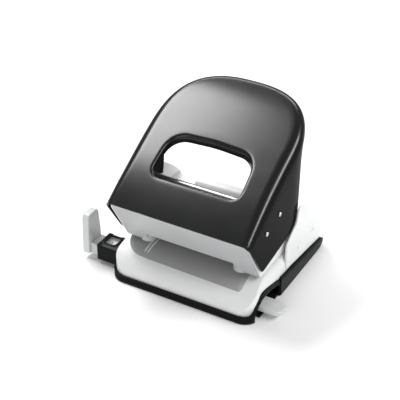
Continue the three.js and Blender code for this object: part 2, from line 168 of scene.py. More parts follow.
def filled(bm, loops):
    """A flat face between loops of drawn points: the first is the border, the rest are holes."""
    edges = []
    for loop in loops:
        ring = [bm.verts.new(at(*p)) for p in loop]
        edges += [bm.edges.new((ring[i - 1], ring[i])) for i in range(len(ring))]
    bmesh.ops.triangle_fill(bm, edges=edges, use_beauty=True)


def circle(x, y, radius, sides=36):
    turns = [2 * math.pi * k / sides for k in range(sides)]
    return [(x + radius * math.cos(turn), y + radius * math.sin(turn)) for turn in turns]


def plate(bm, outline, holes, low, high):
    """A flat sheet in plan, with holes through it."""
    loops = [outline, *holes]
    for z in (low, high):
        filled(bm, [[(x, y, z) for x, y in loop] for loop in loops])
    for loop in loops:
        grid(bm, [[(x, y, z) for x, y in loop] for z in (low, high)], closed=True)


def turned(bm, profile, centre, axis="Z", sides=40):
    """A closed (radius, height) profile turned about an axis through centre."""
    rings = []
    for radius, height in profile:
        ring = []
        for k in range(sides):
            turn = 2 * math.pi * k / sides
            a, b = radius * math.cos(turn), radius * math.sin(turn)
            offset = (a, b, height) if axis == "Z" else (height, a, b)
            ring.append(tuple(c + o for c, o in zip(centre, offset)))
        rings.append(ring)
    grid(bm, [*rings, rings[0]], closed=True)


def folded(line, thickness):
    """The closed outline of a sheet whose outer face follows an open line."""
    inner = []
    for i, (u, v) in enumerate(line):
        before, after = line[max(i - 1, 0)], line[min(i + 1, len(line) - 1)]
        along = Vector((after[0] - before[0], after[1] - before[1])).normalized()
        inner.append((u - along.y * thickness, v + along.x * thickness))
    return [*line, *reversed(inner)]


def piece(name, build, body, material, replaces=(), bevel=0.3, sheet=0, sharp=38):
    """One visual piece, with the body it rides on and the CAD nodes it stands for.

    sheet is the thickness given to an open surface, on its inner side. bevel rounds the edges that
    turn by more than sharp degrees.
    """
    mesh = bpy.data.meshes.new(name)
    bm = bmesh.new()
    build(bm)
    bmesh.ops.remove_doubles(bm, verts=bm.verts, dist=1e-6)
    bmesh.ops.dissolve_degenerate(bm, edges=bm.edges, dist=1e-7)
    bmesh.ops.recalc_face_normals(bm, faces=bm.faces)
    bm.to_mesh(mesh)
    bm.free()
    mesh.shade_smooth()
    mesh.set_sharp_from_angle(angle=math.radians(sharp))
    mesh.materials.append(material)
    made = bpy.data.objects.new(name, mesh)
    bpy.context.scene.collection.objects.link(made)
    if sheet:
        wall = made.modifiers.new("sheet", "SOLIDIFY")
        wall.thickness = sheet * MM
        wall.offset = -1
    if bevel:
        edge = made.modifiers.new("edges", "BEVEL")
        edge.width = bevel * MM
        edge.segments = 3
        edge.limit_method = "ANGLE"
        edge.angle_limit = math.radians(sharp)
        edge.harden_normals = True
    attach(made, body)
    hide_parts(*replaces)
    return made


# ---------------------------------------------------------------- materials


def material(name, color, roughness, metallic=0.0):
    made = bpy.data.materials.new(name)
    made.use_nodes = True
    shader = made.node_tree.nodes["Principled BSDF"]
    shader.inputs["Base Color"].default_value = (*color, 1)
    shader.inputs["Roughness"].default_value = roughness
    shader.inputs["Metallic"].default_value = metallic
    return made, made.node_tree, shader


def noise(tree, scale, detail=3.0, stretch=(1, 1, 1)):
    """Noise over the object's own coordinates."""
    where = tree.nodes.new("ShaderNodeTexCoord")
    fit = tree.nodes.new("ShaderNodeMapping")
    fit.inputs["Scale"].default_value = stretch
    made = tree.nodes.new("ShaderNodeTexNoise")
    made.inputs["Scale"].default_value = scale
    made.inputs["Detail"].default_value = detail
    tree.links.new(where.outputs["Object"], fit.inputs["Vector"])
    tree.links.new(fit.outputs["Vector"], made.inputs["Vector"])
    return made.outputs["Fac"]


def ramp(tree, value, low, high, start=0.3, end=0.7):
    """A value spread between two grey levels or two colours."""
    made = tree.nodes.new("ShaderNodeValToRGB")
    for stop, place, level in zip(made.color_ramp.elements, (start, end), (low, high)):
        stop.position = place
        stop.color = (*level, 1) if isinstance(level, tuple) else (level, level, level, 1)
    tree.links.new(value, made.inputs["Fac"])
    return made.outputs["Color"]


def bumped(tree, shader, value, strength, distance):
    made = tree.nodes.new("ShaderNodeBump")
    made.inputs["Strength"].default_value = strength
    made.inputs["Distance"].default_value = distance
    last = shader.inputs["Normal"]
    if last.is_linked:
        tree.links.new(last.links[0].from_socket, made.inputs["Normal"])
    tree.links.new(value, made.inputs["Height"])
    tree.links.new(made.outputs["Normal"], last)


def shaded(color, amount):
    return tuple(c * amount for c in color)


def painted(name, color, roughness, spread, peel, specular):
    """Enamel on pressed steel: cloudy gloss with a slight orange peel."""
    made, tree, shader = material(name, color, roughness)
    shader.inputs["Specular IOR Level"].default_value = specular
    clouds = noise(tree, 26, 4)
    tree.links.new(ramp(tree, clouds, shaded(color, 0.95), shaded(color, 1.04)),
                   shader.inputs["Base Color"])
    tree.links.new(ramp(tree, noise(tree, 70, 2), roughness - spread, roughness + spread),
                   shader.inputs["Roughness"])
    bumped(tree, shader, noise(tree, 420, 2), peel, 0.0002)
    return made


def duller_sides(made, high, low):
    """Less gloss on the faces that look along X: in the photograph the flanks stay dark."""
    tree = made.node_tree
    where = tree.nodes.new("ShaderNodeTexCoord")
    split = tree.nodes.new("ShaderNodeSeparateXYZ")
    size = tree.nodes.new("ShaderNodeMath")
    size.operation = "ABSOLUTE"
    tree.links.new(where.outputs["Normal"], split.inputs["Vector"])
    tree.links.new(split.outputs["X"], size.inputs[0])
    tree.links.new(ramp(tree, size.outputs["Value"], high, low, 0.72, 0.97),
                   tree.nodes["Principled BSDF"].inputs["Specular IOR Level"])


def moulded(name, color, roughness, grain, specular=0.5):
    """Moulded plastic with a fine spark-eroded grain."""
    made, tree, shader = material(name, color, roughness)
    shader.inputs["Specular IOR Level"].default_value = specular
    tree.links.new(ramp(tree, noise(tree, 40, 3), shaded(color, 0.9), shaded(color, 1.08)),
                   shader.inputs["Base Color"])
    tree.links.new(ramp(tree, noise(tree, 300, 2), roughness - 0.05, roughness + 0.06),
                   shader.inputs["Roughness"])
    bumped(tree, shader, noise(tree, 1900, 2), grain, 0.0001)
    return made


def drawn_steel(name, color, roughness, stretch):
    """Bright steel with fine drawn lines along one axis."""
    made, tree, shader = material(name, color, roughness, 1.0)
    lines = noise(tree, 900, 3, stretch)
    tree.links.new(ramp(tree, lines, roughness - 0.08, roughness + 0.12),
                   shader.inputs["Roughness"])
    tree.links.new(ramp(tree, noise(tree, 60, 3), shaded(color, 0.82), color),
                   shader.inputs["Base Color"])
    bumped(tree, shader, lines, 0.15, 0.0001)
    return made


def clear_plastic(name):
    made, tree, shader = material(name, (0.9, 0.92, 0.92), 0.04)
    tree.links.new(ramp(tree, noise(tree, 120, 3), 0.02, 0.07), shader.inputs["Roughness"])
    tree.links.new(ramp(tree, noise(tree, 90, 2), 0.1, 0.16), shader.inputs["Alpha"])
    return made


BLACK_PAINT = painted("black_enamel", (0.0045, 0.0048, 0.0052), 0.23, 0.01, 0.03, 0.45)
duller_sides(BLACK_PAINT, 0.5, 0.012)
PALE_PAINT = painted("white_enamel", (0.8, 0.805, 0.81), 0.33, 0.04, 0.04, 0.5)
# Painted shade: a darker copy of the white enamel, for the head's front plate that faces down and
# forward into shade.
HEAD_SHADED_WHITE_PAINT = painted("white_enamel_painted_shade", (0.47, 0.475, 0.48), 0.4, 0.04, 0.04, 0.4)
# Painted shade: the grey coat on the table stands in for the shade and the dark reflection under the
# head.
BED_SHADE_PAINT = painted("grey_painted_shade", (0.38, 0.382, 0.383), 0.45, 0.04, 0.04, 0.35)
BLACK_PLASTIC = moulded("black_moulding", (0.007, 0.0075, 0.008), 0.36, 0.2, 0.08)
GLOSS_PLASTIC = moulded("black_gloss_moulding", (0.005, 0.0055, 0.006), 0.16, 0.04, 0.09)
PALE_PLASTIC = moulded("grey_moulding", (0.68, 0.69, 0.695), 0.38, 0.12)
STEEL = drawn_steel("turned_steel", (0.6, 0.61, 0.63), 0.28, (1, 1, 12))
ROD_STEEL = drawn_steel("bright_rod", (0.66, 0.67, 0.68), 0.3, (12, 1, 1))
SPRING_STEEL = drawn_steel("spring_wire", (0.5, 0.51, 0.53), 0.3, (1, 1, 1))
CLEAR = clear_plastic("clear_window")
LABEL = moulded("label_strip", (0.82, 0.82, 0.8), 0.55, 0.05)
INK = moulded("label_ink", (0.02, 0.021, 0.025), 0.6, 0.05)

# ---------------------------------------------------------------- handle

HANDLE_HALF = 60
HANDLE_NOSE = -3.5
HANDLE_SIDE = 62
HANDLE_REAR = 121
HANDLE_POWER = 2.5
HANDLE_SHEET = 1.2
NOSE_BEND, SIDE_BEND, REAR_BEND = 6.5, 8.7, 8.2
LIP_ROUND, LIP_DEPTH = 2.3, 6
FLANGE_EDGE = [
    (-3.5, 72.6), (16.4, 41.4), (17.6, 39.8), (19.2, 38.9), (21.2, 38.7), (23.4, 38.9),
    (62, 44.9), (68, 46.2), (72, 48.2), (75, 51.4), (76.8, 55.6), (77.7, 60.5), (78.4, 67),
    (80, 97), (80.8, 103), (82.4, 108.2), (85, 111.8), (89, 114), (100, 115.8), (121, 116.6),
]
WINDOW = filleted([
    (-39.4, 20, 9), (39, 20, 9), (37, 57.2, 17), (0, 59.4, 160), (-37, 57.2, 17)], 12)
WINDOW_MIDDLE = (0, 38)
WALL_STEPS, BEND_STEPS, PANEL_STEPS, ROUND_STEPS, FRONT_STEPS = 7, 10, 12, 6, 44
COLUMN_STEPS = WALL_STEPS + BEND_STEPS


def panel_height(y):
    """The slightly bowed top panel, lifted a little behind the window."""
    s = (y - HANDLE_NOSE) / 100
    return 73.4 + 74 * s - 20 * s * s + 0.9 * ease((y - 70) / 40)


def handle_plan():
    """Plan points from the left of the nose, round the rear, to the right of the nose."""
    stops = sorted({*(y for y, _ in FLANGE_EDGE if y < 90), -2, -0.5, 1, 3, 6, 9, 12, 14.5, 27,
                    32, 38, 44, 50, 56, 59, 65, 70, 73.6, 79.2})
    right = []
    span = HANDLE_REAR - HANDLE_SIDE
    for y in stops:
        reach = max(0, y - HANDLE_SIDE) / span
        right.append((HANDLE_HALF * (1 - reach ** HANDLE_POWER) ** (1 / HANDLE_POWER), y))
    for degrees in range(24, 91, 2):
        turn = math.radians(degrees)
        side = HANDLE_HALF * max(0, math.cos(turn)) ** (2 / HANDLE_POWER)
        right.append((side, HANDLE_SIDE + span * math.sin(turn) ** (2 / HANDLE_POWER)))
    return [(-x, y) for x, y in right[:-1]] + [(0, HANDLE_REAR)] + right[-2::-1]


def window_point(x, y):
    """Where the window's edge crosses the line from its middle towards (x, y)."""
    cx, cy = WINDOW_MIDDLE
    dx, dy = x - cx, y - cy
    best = None
    for (ax, ay), (bx, by) in zip(WINDOW, [*WINDOW[1:], WINDOW[0]]):
        ex, ey = bx - ax, by - ay
        across = dx * ey - dy * ex
        if abs(across) < 1e-9:
            continue
        t = ((ax - cx) * ey - (ay - cy) * ex) / across
        u = ((ax - cx) * dy - (ay - cy) * dx) / across
        if t > 0 and -1e-6 <= u <= 1 + 1e-6:
            best = t
    return cx + dx * best, cy + dy * best


def flange_column(x, y, into):
    """Points up the flange at (x, y) and round the bend onto the panel."""
    bend = (NOSE_BEND + (SIDE_BEND - NOSE_BEND) * ease((y + 4) / 40)
            + (REAR_BEND - SIDE_BEND) * ease((y - 84) / 36))
    edge, top = height_on(FLANGE_EDGE, y), panel_height(y) - bend
    cut = edge > top
    first = math.asin(max(0, min(1, 1 - (panel_height(y) - edge) / bend))) if cut else 0
    column = []
    for k in range(COLUMN_STEPS + 1):
        if not cut and k < WALL_STEPS:
            column.append((x, y, edge + (top - edge) * k / WALL_STEPS))
            continue
        share = k / COLUMN_STEPS if cut else (k - WALL_STEPS) / BEND_STEPS
        turn = first + (math.pi / 2 - first) * share
        inset = bend * (1 - math.cos(turn))
        px, py = x + into.x * inset, y + into.y * inset
        column.append((px, py, panel_height(py) - bend * (1 - math.sin(turn))))
    return column


def window_edge(hole):
    """Rows of points down the window's rounded edge and its short turned-in wall."""
    rows = []
    for k in range(1, ROUND_STEPS + 3):
        turn = math.pi / 2 * min(1, k / ROUND_STEPS)
        drop = LIP_ROUND * (1 - math.cos(turn)) + (LIP_DEPTH - LIP_ROUND) * max(0, k - ROUND_STEPS) / 2
        step = LIP_ROUND * math.sin(turn)
        row = []
        for (x, y), into in zip(hole, inward(hole, closed=True)):
            px, py = x + into.x * step, y + into.y * step
            row.append((px, py, panel_height(py) - drop))
        rows.append(row)
    return rows


def handle_shell(bm):
    plan = handle_plan()
    columns = [flange_column(x, y, into) for (x, y), into in zip(plan, inward(plan, closed=False))]
    rings = [list(ring) for ring in zip(*columns)]
    grid(bm, rings)
    rim = [(x, y) for x, y, _ in rings[-1]]
    end = rim[-1][0]
    rim += [(end - 2 * end * k / FRONT_STEPS, HANDLE_NOSE) for k in range(1, FRONT_STEPS)]
    hole = [window_point(x, y) for x, y in rim]
    rows = []
    for k in range(PANEL_STEPS + 1):
        t = k / PANEL_STEPS
        loop = [(a[0] + (b[0] - a[0]) * t, a[1] + (b[1] - a[1]) * t) for a, b in zip(rim, hole)]
        rows.append([(x, y, panel_height(y)) for x, y in loop])
    grid(bm, [*rows, *window_edge(hole)], closed=True)


piece("handle_shell_pressing", handle_shell, "handle", BLACK_PAINT,
      ["handle_shell"], bevel=0.25, sheet=HANDLE_SHEET, sharp=50)

# ---------------------------------------------------------------- axle and press rod

PIVOT_Y, PIVOT_Z, NECK = 23.5, 69.6, 1.6
ROD_Y, ROD_Z, ROD_RADIUS = 43.9, 74.7, 2.4


def step_shaft(y, z, middle):
    """A shaft with thinner ends that are riveted over outside the handle's flanges."""
    neck, head = HANDLE_HALF - HANDLE_SHEET - 0.3, HANDLE_HALF + 0.3
    half = [(0, head + 0.15), (0.8, head + 0.2), (1.2, head + 0.6), (1.6, head + 0.5),
            (1.8, head + 0.2), (1.75, head), (NECK, head), (NECK, neck), (middle - 0.3, neck),
            (middle, neck - 0.3)]
    profile = half + [(r, -h) for r, h in reversed(half)]
    return lambda bm: turned(bm, profile, (0, y, z), "X", 32)


piece("pivot_axle_turned", step_shaft(PIVOT_Y, PIVOT_Z, NECK + 0.4), "base", ROD_STEEL,
      ["pivot_axle"], bevel=0)
piece("press_rod_turned", step_shaft(ROD_Y, ROD_Z, ROD_RADIUS), "handle", ROD_STEEL,
      ["press_rod"], bevel=0)

# ---------------------------------------------------------------- head

HEAD_HALF = 56.2
HEAD_SHEET = 1.4
PLATE_TOP, PLATE_FOOT = (-1.2, 71.5), (21.4, 30.9)
MOUTH_HALF, MOUTH_TOP = 37.5, 40
HOLE_X, PIN_Y = 40, 43.5
SCREW_X, SCREW_Y = 25, 65
BOSS_RADIUS, BOSS_Y = 6.5, 25.6
LOWER_SHELF, UPPER_SHELF = (28.3, 68, 30.9), (13.6, 72.3, 46.6)
HEAD_REAR = [(68, 30.9, 0), (73.8, 30.9, 1.6), (73.8, 54.8, 1.2), (66, 54.8, 0)]


def front_plate(bm):
    """The sloping plate in front, with the mouth cut out of its foot."""
    run = PLATE_FOOT[0] - PLATE_TOP[0]
    fall = PLATE_TOP[1] - PLATE_FOOT[1]
    length = math.hypot(run, fall)
    mouth = length * (PLATE_TOP[1] - MOUTH_TOP) / fall
    outline = filleted([
        (-HEAD_HALF, 0.4, 1), (-HEAD_HALF, length, 1.2), (-MOUTH_HALF, length, 1.4),
        (-MOUTH_HALF, mouth, 1.6), (MOUTH_HALF, mouth, 1.6), (MOUTH_HALF, length, 1.4),
        (HEAD_HALF, length, 1.2), (HEAD_HALF, 0.4, 1)])
    inner = (fall / length * HEAD_SHEET, run / length * HEAD_SHEET)
    faces = []
    for depth in (0, 1):
        ring = []
        for x, s in outline:
            y = PLATE_TOP[0] + run * s / length + depth * inner[0]
            z = PLATE_TOP[1] - fall * s / length + depth * inner[1]
            ring.append(bm.verts.new(at(x, y, z)))
        faces.append(ring)
        bm.faces.new(ring)
    for i in range(len(outline)):
        bm.faces.new((faces[0][i - 1], faces[0][i], faces[1][i], faces[1][i - 1]))


def head_frame(bm):
    front_plate(bm)
    prism(bm, folded(filleted(HEAD_REAR), HEAD_SHEET), "X", -HEAD_HALF, HEAD_HALF)
    sleeves = [circle(side * HOLE_X, PIN_Y, 4.8) for side in (-1, 1)]
    screws = [circle(side * SCREW_X, SCREW_Y, 1.7) for side in (-1, 1)]
    for (front, rear, z), holes in ((LOWER_SHELF, sleeves + screws), (UPPER_SHELF, sleeves)):
        rect = [(-HEAD_HALF, front), (HEAD_HALF, front), (HEAD_HALF, rear), (-HEAD_HALF, rear)]
        plate(bm, rect, holes, z, z + HEAD_SHEET)
    for side in (-1, 1):
        boss = [(side * HOLE_X + BOSS_RADIUS * math.sin(a), BOSS_Y - BOSS_RADIUS * math.cos(a))
                for a in (math.pi * k / 24 - math.pi / 2 for k in range(25))]
        prism(bm, boss, "Z", 31, 41)


# The head pressing wears the darker copy of the white enamel: painted shade for its downward-facing
# front plate.
piece("head_pressing", head_frame, "base", HEAD_SHADED_WHITE_PAINT, ["head_frame"], bevel=0.35)

CHEEK = [(-0.1, 69.2, 2), (21.6, 30.9, 1), (74, 30.9, 1), (74, 57, 1.5), (54, 57, 3), (50, 61.4, 3),
         (37, 61.4, 4), (33, 73, 5), (24, 78.2, 10), (5, 72.6, 3)]
CHEEK_IN, CHEEK_OUT = 56.5, 57.5


def cheek(side):
    low, high = sorted((side * CHEEK_IN, side * CHEEK_OUT))
    return lambda bm: prism(bm, filleted(CHEEK), "X", low, high)


for name, side in SIDES:
    piece(f"cheek_{name}_plate", cheek(side), "base", PALE_PAINT, [f"cheek_{name}"],
          bevel=0.35)

# ---------------------------------------------------------------- punches


def bush(side):
    bore, sleeve, flange = 2.95, 4.5, 7
    profile = [(bore, 31.1), (sleeve - 0.4, 31.1), (sleeve, 31.5), (sleeve, 48.3), (flange - 0.3, 48.3),
               (flange, 48.6), (flange, 49.3), (flange - 0.3, 49.6), (bore + 0.4, 49.6), (bore, 49.2)]
    return lambda bm: turned(bm, profile, (side * HOLE_X, PIN_Y, 0))


def die(side):
    profile = [(2.9, 22), (4.7, 22), (5, 22.3), (5, 28), (4.7, 28.3), (2.9, 28.3)]
    return lambda bm: turned(bm, profile, (side * HOLE_X, PIN_Y, 0))


def punch_pin(side):
    """The pin's end is ground to a V, so the ring of its edge rises and falls."""

    def build(bm):
        count, radius = 40, 2.75
        rows = []
        for r, z, depth in ((0, 32.2, 1), (1.2, 32.2, 1), (radius, 32.2, 1), (radius, 36, 0),
                            (radius, 50, 0), (radius, 71.5, 0), (radius - 0.5, 72, 0), (0, 72, 0)):
            ring = []
            for k in range(count):
                turn = 2 * math.pi * k / count
                x, y = r * math.cos(turn), r * math.sin(turn)
                ring.append((side * HOLE_X + x, PIN_Y + y, z + depth * (2.4 - abs(x) * 0.87)))
            rows.append(ring)
        grid(bm, rows, closed=True)

    return build


SPRING_LOW, SPRING_HIGH = 49.95, 65.75


def return_spring(side):
    """A compression spring with closed ends."""
    radius, wire, turns, section = 4.7, 0.55, 6.5, 10

    def build(bm):
        rows = []
        steps = int(turns * 32)
        for i in range(steps + 1):
            turn = 2 * math.pi * turns * i / steps
            end = min(turn, 2 * math.pi * turns - turn) / (2 * math.pi)
            share = (turn / (2 * math.pi) - 0.5) / (turns - 1)
            rise = SPRING_HIGH - SPRING_LOW - 2 * wire
            z = SPRING_LOW + wire + rise * max(0, min(1, share))
            if end < 0.5:
                z = SPRING_LOW + wire if i < steps / 2 else SPRING_HIGH - wire
            ring = []
            for k in range(section):
                a = 2 * math.pi * k / section
                reach = radius + wire * math.cos(a)
                ring.append((side * HOLE_X + reach * math.cos(turn), PIN_Y + reach * math.sin(turn),
                             z + wire * math.sin(a)))
            rows.append(ring)
        made = grid(bm, rows, closed=True)
        bm.faces.new(made[0])
        bm.faces.new(made[-1])

    return build


def washer(side):
    profile = [(3.1, 66), (6.2, 66), (6.4, 66.2), (6.4, 67), (6.2, 67.2), (3.1, 67.2)]
    return lambda bm: turned(bm, profile, (side * HOLE_X, PIN_Y, 0))


def head_screw(side):
    profile = [(0, 25), (1.1, 25), (1.4, 25.4), (1.4, 32.6), (2.8, 32.6), (3, 32.8), (2.9, 33.6),
               (2.3, 34.3), (1.2, 34.6), (0.9, 33.4), (0, 33.3)]
    return lambda bm: turned(bm, profile, (side * SCREW_X, SCREW_Y, 0))


def axle_clip(side):
    """A spring clip with an open mouth."""
    low, high = sorted((side * 55.2, side * 56.2))
    inner, outer, gap = 2.35, 4, 0.42
    turns = [gap + (2 * math.pi - 2 * gap) * k / 30 for k in range(31)]
    outline = [(PIVOT_Y + outer * math.cos(t), PIVOT_Z + outer * math.sin(t)) for t in turns]
    outline += [(PIVOT_Y + inner * math.cos(t), PIVOT_Z + inner * math.sin(t)) for t in reversed(turns)]
    return lambda bm: prism(bm, outline, "X", low, high)


for name, side in SIDES:
    piece(f"bush_{name}", bush(side), "base", STEEL, [f"guide_bush_{name}"], bevel=0)
    piece(f"die_ring_{name}", die(side), "base", STEEL, [f"die_{name}"], bevel=0)
    piece(f"pin_{name}", punch_pin(side), f"punch_{name}", STEEL, [f"punch_pin_{name}"], bevel=0)
    piece(f"washer_{name}", washer(side), f"punch_{name}", STEEL, [f"spring_washer_{name}"],
          bevel=0)
    piece(f"screw_{name}", head_screw(side), "base", STEEL, [f"head_screw_{name}"], bevel=0)
    piece(f"clip_{name}", axle_clip(side), "base", ROD_STEEL, [f"axle_clip_{name}"], bevel=0.1)
    spring = piece(f"spring_{name}", return_spring(side), "base", SPRING_STEEL,
                   [f"return_spring_{name}"], bevel=0)
    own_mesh(spring)

# ---------------------------------------------------------------- body

BODY_HALF = 61.3
BODY_CORNER = 11
BODY_FRONT = 2.6
BODY_LINE = smoothed([
    (2.6, 4.5), (2.6, 7.5), (3.1, 11.4), (4.6, 15.6), (7, 19), (11, 22), (17, 25), (24, 27.3),
    (31, 28.4), (37, 28.6)], 4) + [(41, 28.6), (45, 28.6), (49, 28.6), (52, 28.6), (55.3, 28.6)]
BODY_STOP = [(55.4, 28.7), (55.5, 30.5), (56.5, 30.6), (66, 30.6), (74, 30.6)]
BODY_INSETS = [0, 0, 0.15, 0.4, 0.8, 1.3, 2, 2.8, 3.8, 5, 6.5, 8.5, 11, 14, 18, 23, 29, 36, 44, 52]
FLAT_FROM, FLAT_TO, FLAT_HALF = 37, 55.3, 50.5
DIE_HOLES = [circle(side * HOLE_X, PIN_Y, 5.3) for side in (-1, 1)]
BODY_FOOT = [(2.6, 4.5), (6.4, 4.6), (7, 9), (9.5, 14.4), (14, 17.6), (20, 18.6), (45, 15), (57, 15),
             (74, 15)]


def body_half(y):
    short = max(0, BODY_FRONT + BODY_CORNER - y)
    return BODY_HALF - BODY_CORNER + math.sqrt(max(0, BODY_CORNER ** 2 - short ** 2))


def shoulder(inset):
    """Height of the rounded side edge, at a distance in from the side."""
    if inset >= 10:
        return 33
    return 15.5 + 17.5 * math.sqrt(1 - (1 - inset / 10) ** 2)


def body_shell(bm):
    """Rows across the body. The flat of the table, where the die holes are, is filled apart."""
    rows = []
    for y, z in [*BODY_LINE, *BODY_STOP]:
        half = body_half(y)
        foot = height_on(BODY_FOOT, y)
        left = []
        for k, inset in enumerate(BODY_INSETS):
            level = foot if k == 0 else max(foot, soft_min(z, shoulder(inset), 4))
            left.append((-half + inset * half / BODY_HALF, y, min(level, z)))
        right = [(-x, py, pz) for x, py, pz in reversed(left)]
        rows.append([*left, (0.0, y, z), *right])
    flat = [row for row in rows if FLAT_FROM - 0.01 <= row[0][1] <= FLAT_TO + 0.01]
    inside = [k for k, point in enumerate(flat[0]) if abs(point[0]) < FLAT_HALF]
    low, high = inside[0], inside[-1]
    first = rows.index(flat[0])
    grid(bm, rows[:first + 1])
    grid(bm, [row[:low + 1] for row in flat])
    grid(bm, [row[high:] for row in flat])
    grid(bm, rows[first + len(flat) - 1:])
    border = (flat[0][low:high + 1] + [row[high] for row in flat[1:]]
              + flat[-1][low:high][::-1] + [row[low] for row in flat[1:-1]][::-1])
    filled(bm, [border, *[[(x, y, flat[0][low][2]) for x, y in hole] for hole in DIE_HOLES]])


piece("body_pressing", body_shell, "base", PALE_PAINT, ["body_shell"], bevel=0,
      sheet=1.4, sharp=50)

BED = filleted([(-56, 11, 17), (47, 9.6, 2.5), (47, FLAT_TO, 0), (-56, FLAT_TO, 0)], 10)
BED_COAT = 0.12


def inside_span(outline, y):
    """The x span of a closed (x, y) outline at y."""
    crossings = []
    for (ax, ay), (bx, by) in zip(outline, [*outline[1:], outline[0]]):
        if (ay - y) * (by - y) <= 0 and ay != by:
            crossings.append(ax + (bx - ax) * (y - ay) / (by - ay))
    return min(crossings), max(crossings)


def table_bed(bm):
    """The dull grey strip that the paper lies on, a thin raised coat with a crisp edge: its grey is
    painted shade and painted reflection of the dark head above it.
    """
    stops = [9.62, 9.7, 9.9, 10.2, 10.7, 11.2, 12, 13, 14.5, 16, 18, 20, 22, 24, 26, 28, 31, 34,
             FLAT_FROM]
    rows = []
    for y in stops:
        low, high = inside_span(BED, max(y, min(v for _, v in BED) + 0.02))
        rows.append([(low + (high - low) * k / 24, y, height_on(BODY_LINE, y) + BED_COAT)
                     for k in range(25)])
    grid(bm, rows)
    end = rows[-1]
    level = end[0][2]
    border = [*end, (end[-1][0], 55.2, level), (end[0][0], 55.2, level)]
    filled(bm, [border, *[[(x, y, level) for x, y in hole] for hole in DIE_HOLES]])


RIBS_X = (-38.2, -35.4)


def table_ribs(bm):
    """Two low ribs that guide the paper into the mouth."""
    for x0 in RIBS_X:
        rows = []
        for k in range(19):
            t = k / 18
            y = 14.5 + 16.5 * t
            rise = 0.9 * math.sqrt(max(0, 1 - (2 * t - 1) ** 4))
            half = 0.75 * math.sqrt(max(0.05, 1 - (2 * t - 1) ** 4))
            base = height_on(BODY_LINE, y) - 0.2
            rows.append([(x0 + 1.6 * t + half * math.cos(math.pi * j / 8), y,
                          base + (rise + 0.2) * math.sin(math.pi * j / 8)) for j in range(9)])
        grid(bm, rows)


# The table's grey coat is painted shade and painted reflection from the head above it.
piece("body_table_painted_shade", table_bed, "base", BED_SHADE_PAINT, bevel=0, sheet=BED_COAT,
      sharp=80)
piece("body_table_ribs", table_ribs, "base", PALE_PAINT, bevel=0, sharp=80)

# ---------------------------------------------------------------- rear housing

HOUSING_HALF = 61.7
HOUSING_REAR = 124.4
HOUSING_WALL = 1.4
HOUSING_CORNER = 7
HOUSING_TOP = [
    (56, 30.6), (56.1, 36.2), (56.8, 39), (58.5, 41), (62, 43.6), (68, 47.4), (70.4, 48.8),
    (72, 50.6), (73.2, 53.6), (74, 57.6), (74.9, 60.6), (76.4, 62.2), (78.4, 62.4), (81, 61.9),
    (83, 60.9), (87, 58.2), (92, 54.4), (98, 49.4), (103, 44.7), (108, 39.4), (112, 34.6),
    (116, 29.2), (119.4, 23.4), (122, 17.6), (124.4, 9.6)]
HOUSING_FOOT = [(56, 16.8), (118, 9.3), (124.4, 8.6)]
DECK = smoothed([
    (74.6, 33.4), (75, 36.6), (77, 38), (82.6, 38.4), (92, 38.4), (103, 38.2), (108, 35.4),
    (112.4, 30.8), (118.6, 20.8), (123, 9)], 3)
HUMP = [(-40, 90, 3), (40, 90, 3), (37.4, 95.4, 6), (24, 103, 6), (-24, 103, 6), (-37.4, 95.4, 6)]
HUMP_SPINE = 96.5


def rear_plan(half, rear, radius, front):
    """Plan points from the front left, round the back, to the front right."""
    stops = sorted({y for y, _ in HOUSING_TOP if front <= y < rear - radius})
    right = [(half, y) for y in stops]
    for k in range(15):
        turn = math.pi / 2 * k / 14
        right.append((half - radius + radius * math.cos(turn), rear - radius + radius * math.sin(turn)))
    right += [((half - radius) * k / 4, rear) for k in (3, 2, 1)]
    return [(-x, y) for x, y in right] + [(0, rear)] + right[::-1]


def rear_walls(bm):
    plan = rear_plan(HOUSING_HALF, HOUSING_REAR, HOUSING_CORNER, 56)
    steps = 8
    columns = []
    for (x, y), n in zip(plan, inward(plan, closed=False)):
        foot, top = height_on(HOUSING_FOOT, y), height_on(HOUSING_TOP, y)
        outer = [(x, y, foot + (top - 0.7 - foot) * k / steps) for k in range(steps + 1)]
        inset = [(0.25, 0.25), (0.7, 0), (HOUSING_WALL - 0.25, 0.25), (HOUSING_WALL, 0.7)]
        edge = [(x + n.x * d, y + n.y * d, top - drop) for d, drop in inset]
        columns.append([*outer, *edge, (x + n.x * HOUSING_WALL, y + n.y * HOUSING_WALL, foot)])
    rows = [list(ring) for ring in zip(*columns)]
    made = grid(bm, [*rows, rows[0]])
    bm.faces.new([ring[0] for ring in made[:-1]])
    bm.faces.new([ring[-1] for ring in made[:-1]])


def rear_deck(bm):
    """The sunk deck between the walls, with its edges curved up to meet them."""
    inside = HOUSING_HALF - HOUSING_WALL + 0.1
    round_off = HOUSING_CORNER - HOUSING_WALL
    rows = []
    for y, z in DECK:
        short = max(0, y - (HOUSING_REAR - HOUSING_WALL - round_off))
        half = inside - round_off + math.sqrt(max(0, round_off ** 2 - short ** 2))
        row = []
        for k in range(25):
            share = 2 * k / 24 - 1
            x = half * (1 - (1 - abs(share)) ** 1.6) * (1 if share > 0 else -1)
            rise = 2.5 * max(0, 1 - (half - abs(x)) / 4) ** 2
            row.append((x, y, z + rise))
        rows.append(row)
    grid(bm, rows)


def housing_beads(bm):
    """A shallow pressed bead low on each side."""
    for side in (-1, 1):
        rings = []
        for k in range(13):
            t = k / 12
            y, z = 81.7 + 17.7 * t, 24.1 + 2.3 * t
            size = 1.5 * math.sqrt(max(0, 1 - (2 * t - 1) ** 6)) + 0.02
            turns = [math.pi * j / 8 - math.pi / 2 for j in range(9)]
            rings.append([(side * (HOUSING_HALF - 0.3 + size * 0.55 * math.cos(a)), y,
                           z + size * math.sin(a)) for a in turns])
        grid(bm, rings)


